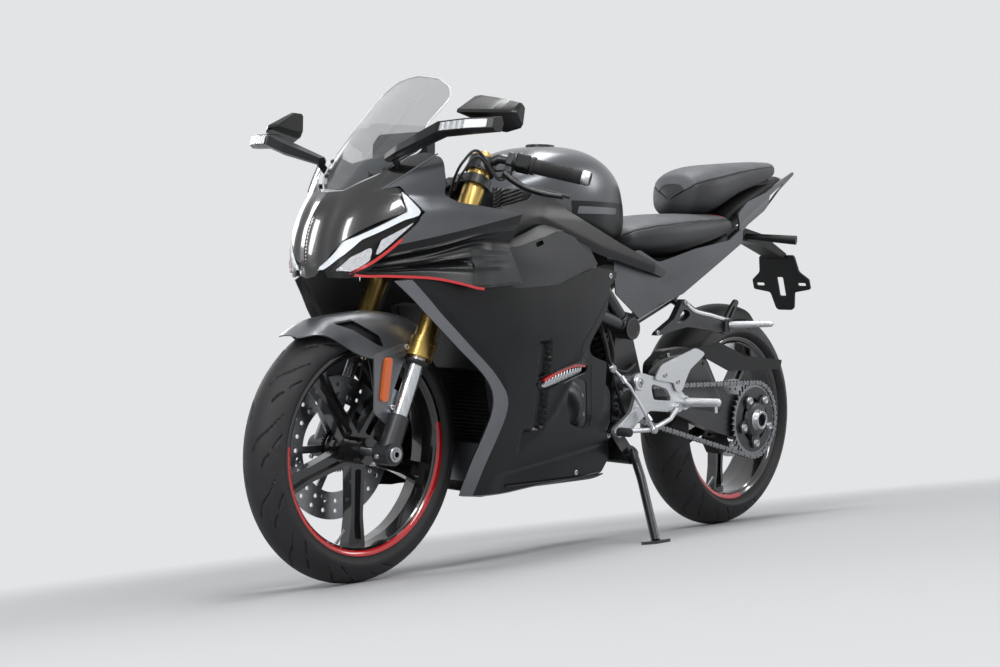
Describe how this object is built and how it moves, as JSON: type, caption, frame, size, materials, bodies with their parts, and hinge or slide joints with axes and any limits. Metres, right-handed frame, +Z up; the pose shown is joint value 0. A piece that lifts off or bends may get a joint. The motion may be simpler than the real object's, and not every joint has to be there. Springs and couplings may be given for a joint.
{
  "type": "fully faired sport motorcycle",
  "caption": "Fully faired sport motorcycle with a single-sided swingarm, parked on its side stand.",
  "frame": {"origin": "centre of the footprint on the ground, under the middle of the bounding box", "axes": "+X forward, +Y to the rider's left, +Z up; the bike leans 10 degrees to its left on its stand"},
  "size_m": [2.0443, 0.8006, 1.1163],
  "materials": {
    "black_panel": "satin",
    "steel": "satin",
    "black_metal": "satin",
    "engine": "satin",
    "exhaust": "satin",
    "frame_paint": "satin",
    "alloy": "satin",
    "gold": "satin",
    "chrome": "gloss",
    "grey_panel": "satin",
    "rim": "satin",
    "tyre": "satin",
    "grey_paint": "satin",
    "grip": "satin",
    "lens": "gloss",
    "amber": "satin",
    "seat": "satin",
    "dark_steel": "satin",
    "red_lens": "satin",
    "screen": "gloss"
  },
  "bodies": {
    "chassis": {"belly_pan": "black_panel", "chain": "steel", "chain_guard": "black_panel", "dash": "black_panel", "engine": "engine", "exhaust": "exhaust", "fairing_stay": "frame_paint", "foot_pedals": "alloy", "fuel_tank": "grey_paint", "headlights": "lens", "main_frame": "frame_paint", "mirrors": "black_panel", "nose_cowl": "black_panel", "pillion_footrests": "black_metal", "pillion_seat": "seat", "plate_hanger": "black_panel", "radiator": "black_metal", "rear_caliper": "black_metal", "rear_hugger": "black_panel", "rear_subframe": "frame_paint", "rider_footrests": "alloy", "rider_seat": "seat", "shock_absorber": "steel", "side_fairings": "black_panel", "side_infill_panels": "black_panel", "swingarm": "black_metal", "tail_centre": "black_panel", "tail_fairing": "grey_panel", "tail_light": "red_lens", "tank_shoulders": "black_panel", "upper_fairings": "grey_panel", "vent_fins": "black_panel", "windscreen": "screen", "winglets": "black_panel"},
    "front_end": {"fork_outer_tubes": "gold", "fork_sliders": "chrome", "fork_feet": "black_metal", "front_axle": "steel", "steering_yoke": "black_metal", "clip_on_bars": "black_metal", "grips": "grip", "hand_controls": "black_metal", "front_caliper": "black_metal", "front_mudguard": "grey_panel", "mudguard_reflectors": "amber"},
    "front_wheel": {"front_tyre": "tyre", "front_rim": "rim", "front_disc": "steel"},
    "rear_wheel": {"rear_tyre": "tyre", "rear_rim": "rim", "rear_disc": "steel", "rear_sprocket": "dark_steel"},
    "side_stand": {"side_stand": "frame_paint"},
    "filler_cap": {"filler_cap": "black_metal"}
  },
  "joints": [
    {"name": "steering", "type": "hinge", "parent": "chassis", "child": "front_end", "pos_m": [0.45972, -0.02526, 0.81851], "axis": [-0.3987, 0.1592, 0.9031], "range_deg": [-24, 24]},
    {"name": "front_wheel_spin", "type": "hinge", "parent": "front_end", "child": "front_wheel", "pos_m": [0.72923, -0.11853, 0.28959], "axis": [0, 0.9848, -0.1736], "continuous": true},
    {"name": "rear_wheel_spin", "type": "hinge", "parent": "chassis", "child": "rear_wheel", "pos_m": [-0.66577, -0.11627, 0.30239], "axis": [0, 0.9848, -0.1736], "continuous": true},
    {"name": "side_stand_fold", "type": "hinge", "parent": "chassis", "child": "side_stand", "pos_m": [-0.04877, 0.0365, 0.21859], "axis": [0.0266, 0.8509, 0.5246], "range_deg": [0, 113.4]},
    {"name": "filler_cap_lid", "type": "hinge", "parent": "chassis", "child": "filler_cap", "pos_m": [0.16723, 0.00511, 0.99077], "axis": [0, 0.9848, -0.1736], "range_deg": [0, 90]}
  ]
}
